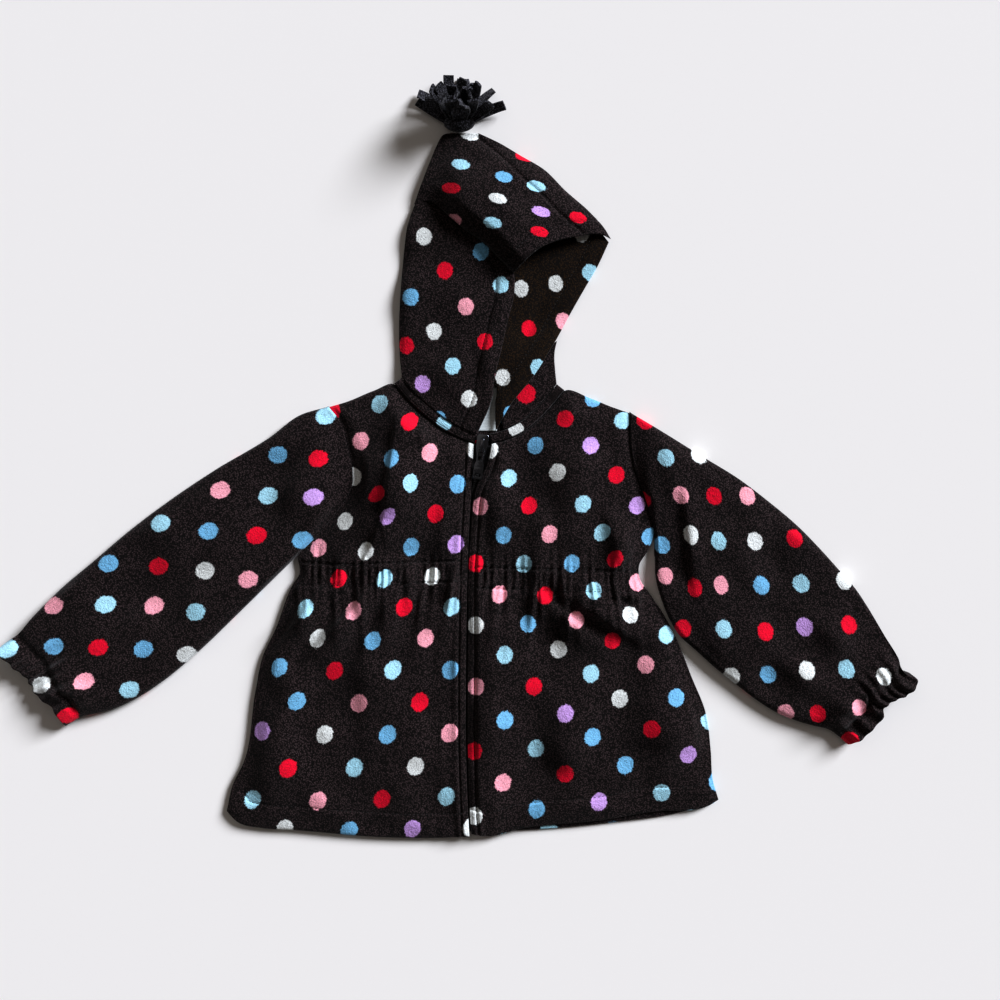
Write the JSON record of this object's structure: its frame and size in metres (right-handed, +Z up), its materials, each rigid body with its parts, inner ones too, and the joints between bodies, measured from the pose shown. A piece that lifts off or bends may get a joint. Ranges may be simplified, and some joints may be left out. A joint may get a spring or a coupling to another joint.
{
  "type": "child's hooded fleece coat, laid flat",
  "caption": "Toddler's hooded zip coat in dark dotted fleece, laid flat on its back with its sleeves out and its hood turned to one side.",
  "frame": {"origin": "on the surface that the coat lies on, under the middle of its outline", "axes": "+X across the chest towards the wearer's left sleeve, +Y towards the hood, +Z up from the surface"},
  "size_m": [0.7107, 0.595, 0.0393],
  "materials": {
    "printed_fleece": "dark brushed fleece printed with small coloured dots",
    "plain_fleece": "dark brushed fleece, cut edges",
    "zip_tape": "woven tape with a moulded coil",
    "woven_label": "satin weave, bare",
    "black_nickel": "glossy black nickel plating"
  },
  "bodies": {
    "coat": {"back": "printed_fleece", "front_right": "printed_fleece", "front_left": "printed_fleece", "sleeve_right": "printed_fleece", "sleeve_left": "printed_fleece", "hood_right_side": "printed_fleece", "hood_left_side": "printed_fleece", "hood_left_turn": "printed_fleece", "hood_crown": "printed_fleece", "hood_tassel": "plain_fleece", "neck_band_right": "printed_fleece", "neck_band_left": "printed_fleece", "neck_label": "woven_label", "zip_tape_right": "zip_tape", "zip_tape_left": "zip_tape", "zip_slider": "black_nickel"},
    "pull_tab": {"zip_pull": "black_nickel"}
  },
  "joints": [
    {"name": "pull_hinge", "type": "hinge", "parent": "coat", "child": "pull_tab", "pos_m": [0.01768, 0.00583, 0.00895], "axis": [-0.9903, 0.1392, 0], "range_deg": [0, 150]}
  ]
}
